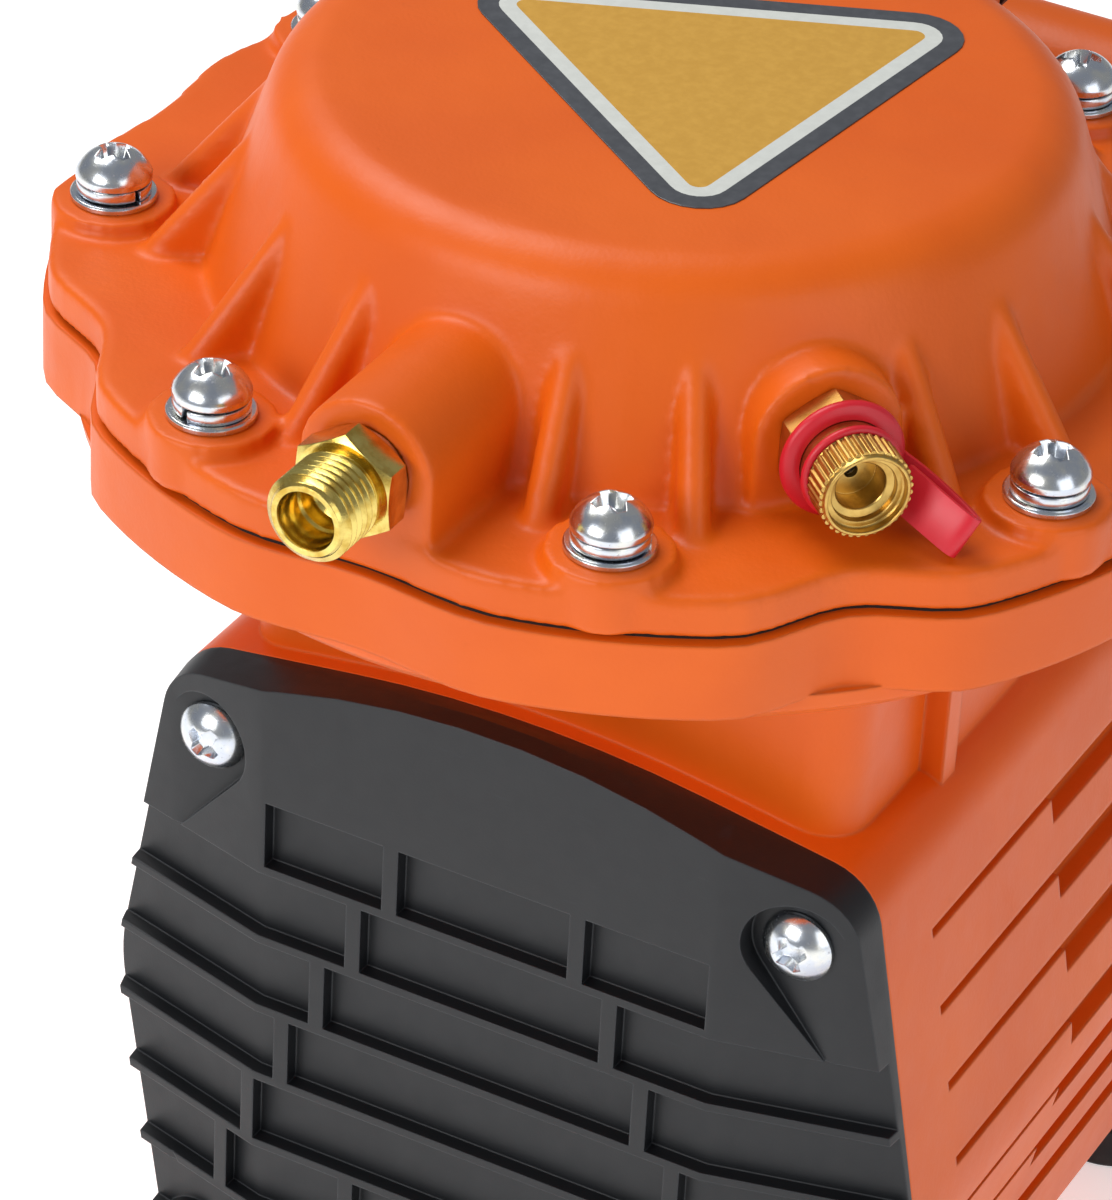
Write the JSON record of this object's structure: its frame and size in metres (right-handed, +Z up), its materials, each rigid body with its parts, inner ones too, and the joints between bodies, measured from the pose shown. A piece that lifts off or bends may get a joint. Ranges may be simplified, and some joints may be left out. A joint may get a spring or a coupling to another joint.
{
  "type": "diaphragm air compressor",
  "caption": "Direct-drive diaphragm air compressor: a motor in a cast body turns an eccentric whose rod works a round diaphragm head on top.",
  "frame": {"origin": "on the floor under the middle of the whole object", "axes": "+Z up, -Y towards the black front cover and the outlet, +X to the right as seen from the front; the motor's axis runs along Y"},
  "size_m": [0.1792, 0.258, 0.2457],
  "materials": {
    "cast_paint": "orange enamel over cast aluminium, semi-gloss",
    "black_plastic": "satin black moulding",
    "zinc": "zinc plated, semi-bright",
    "brass": "turned and left bare",
    "red_plastic": "flexible red moulding, slight gloss",
    "rubber": "matte black",
    "steel": "machined steel",
    "laminations": "stacked steel sheets",
    "aluminium": "bare die casting",
    "copper": "enamelled copper wire",
    "label": "printed plastic film",
    "filter_foam": "open foam"
  },
  "bodies": {
    "body": {"head_cover": "cast_paint", "head_label": "label", "head_screws": "zinc", "lock_washers": "zinc", "flat_washers": "zinc", "outlet_fitting": "brass", "outlet_washer": "zinc", "relief_valve_body": "brass", "relief_valve_spring": "steel", "relief_valve_tether": "red_plastic", "intake_cap": "black_plastic", "intake_filter": "filter_foam", "valve_plate": "aluminium", "valve_plate_seal": "rubber", "valve_plate_screws": "zinc", "reed_screws": "zinc", "diaphragm": "rubber", "front_bearing": "steel", "rear_bearing": "steel", "stator": "laminations", "stator_windings": "copper", "body_casting": "cast_paint", "front_cover": "black_plastic", "front_cover_screws": "zinc", "rear_bracket": "aluminium", "tie_bolts": "zinc", "rear_cover": "black_plastic", "rear_cover_screws": "zinc", "carrying_handle": "cast_paint", "handle_screws": "zinc", "rubber_feet": "rubber", "foot_screws": "zinc", "power_switch": "black_plastic", "cord_inlet": "black_plastic"},
    "shaft": {"motor_shaft": "steel", "eccentric": "steel", "eccentric_set_screw": "steel", "rotor": "laminations", "rotor_end_rings": "aluminium", "cooling_fan": "black_plastic", "fan_clip": "steel"},
    "rod": {"rod_bearing": "steel", "connecting_rod": "aluminium", "lower_clamp_plate": "aluminium", "upper_clamp_plate": "aluminium", "clamp_screw": "zinc"},
    "relief_cap": {"relief_valve_cap": "brass"},
    "relief_ball": {"relief_valve_ball": "steel"},
    "intake_flap": {"intake_reed": "steel"},
    "discharge_flap": {"discharge_reed": "steel"},
    "switch": {"switch_rocker": "red_plastic"}
  },
  "joints": [
    {"name": "shaft_spin", "type": "hinge", "parent": "body", "child": "shaft", "pos_m": [0, -0.026, 0.084], "axis": [0, 1, 0], "continuous": true},
    {"name": "rod_swing", "type": "hinge", "parent": "shaft", "child": "rod", "pos_m": [0, -0.026, 0.0814], "axis": [0, 1, 0], "continuous": true, "deforming": ["diaphragm"]},
    {"name": "relief_cap_turn", "type": "hinge", "parent": "body", "child": "relief_cap", "pos_m": [0, -0.026, 0.224], "axis": [0.7254, -0.6884, 0], "range_deg": [-180, 180]},
    {"name": "relief_ball_lift", "type": "slide", "parent": "body", "child": "relief_ball", "axis": [0.7254, -0.6884, 0], "range_m": [0, 0.0008], "stiffness_N_per_m": 800, "springref_m": -0.002, "deforming": ["relief_valve_spring"]},
    {"name": "intake_reed_flex", "type": "hinge", "parent": "body", "child": "intake_flap", "pos_m": [0, 0.016, 0.20865], "axis": [1, 0, 0], "range_deg": [0, 2], "stiffness_Nm_per_rad": 0.06, "deforming": ["intake_reed"]},
    {"name": "discharge_reed_flex", "type": "hinge", "parent": "body", "child": "discharge_flap", "pos_m": [0, -0.068, 0.21255], "axis": [1, 0, 0], "range_deg": [0, 2], "stiffness_Nm_per_rad": 0.06, "deforming": ["discharge_reed"]},
    {"name": "switch_rock", "type": "hinge", "parent": "body", "child": "switch", "pos_m": [0, 0.1245, 0.136], "axis": [-1, 0, 0], "range_deg": [0, 16]}
  ],
  "couplings": [
    {"joint": "rod_swing", "follows": "shaft_spin", "ratio": -1}
  ]
}
